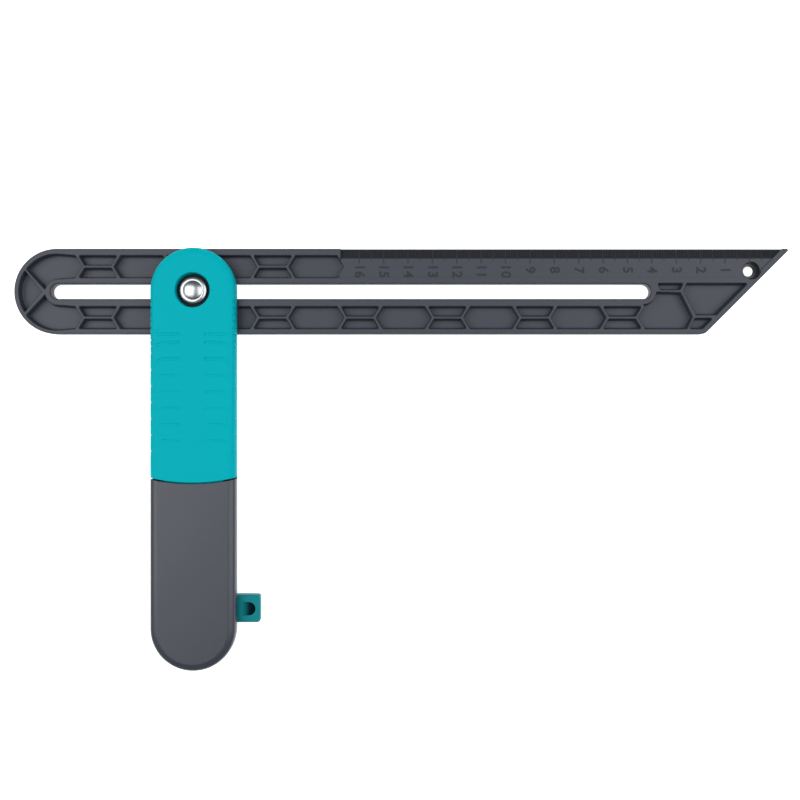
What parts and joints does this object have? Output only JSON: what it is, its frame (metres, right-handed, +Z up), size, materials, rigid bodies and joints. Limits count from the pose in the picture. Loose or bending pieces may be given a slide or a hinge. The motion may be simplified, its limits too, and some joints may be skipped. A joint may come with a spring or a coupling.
{
  "type": "sliding bevel gauge",
  "caption": "Sliding bevel gauge: a slotted, ribbed plastic blade with a centimetre scale that slides and turns in a two-coloured plastic stock.",
  "frame": {"origin": "on the pivot axis, at the flat back of the stock, which is the back of the pivot nut", "axes": "+X along the blade towards its slanted tip, +Y across the blade away from the stock, +Z up along the pivot axis from the back of the stock to its front"},
  "size_m": [0.3172, 0.1719, 0.0184],
  "materials": {
    "teal_plastic": "satin",
    "dark_teal_plastic": "satin",
    "stock_grey_plastic": "matte",
    "blade_grey_plastic": "matte",
    "guide_nylon": "matte",
    "friction_fibre": "matte",
    "chromed_steel": "polished",
    "black_steel": "brushed",
    "plain_steel": "brushed"
  },
  "bodies": {
    "handle": {"front_cheek": "teal_plastic", "rear_cheek": "teal_plastic", "front_cover": "stock_grey_plastic", "rear_cover": "stock_grey_plastic", "core": "stock_grey_plastic", "pivot_screw": "chromed_steel", "spring_washer": "black_steel", "front_friction_disc": "friction_fibre", "clamp_disc": "plain_steel", "thrust_washer": "plain_steel", "pivot_nut": "chromed_steel", "detent_spring": "plain_steel", "case_screw_1": "plain_steel", "case_screw_2": "plain_steel", "case_screw_3": "plain_steel", "case_screw_4": "plain_steel"},
    "guide": {"slot_guide": "guide_nylon"},
    "blade": {"blade": "blade_grey_plastic"},
    "lock_slide": {"lock_slide": "dark_teal_plastic"},
    "lock_bar": {"lock_bar": "plain_steel", "follower_pin": "plain_steel"}
  },
  "joints": [
    {"name": "blade_pivot", "type": "hinge", "parent": "handle", "child": "guide", "pos_m": [0, 0, 0.0092], "axis": [0, 0, 1], "range_deg": [-60, 60]},
    {"name": "blade_slide", "type": "slide", "parent": "guide", "child": "blade", "axis": [1, 0, 0], "range_m": [-0.181, 0.0535]},
    {"name": "lock_slide_travel", "type": "slide", "parent": "handle", "child": "lock_slide", "axis": [1, 0, 0], "range_m": [-0.009, 0]},
    {"name": "lock_bar_travel", "type": "slide", "parent": "handle", "child": "lock_bar", "axis": [0, 1, 0], "range_m": [0, 0.00225]}
  ],
  "couplings": [
    {"joint": "lock_bar_travel", "follows": "lock_slide_travel", "ratio": -0.25}
  ]
}
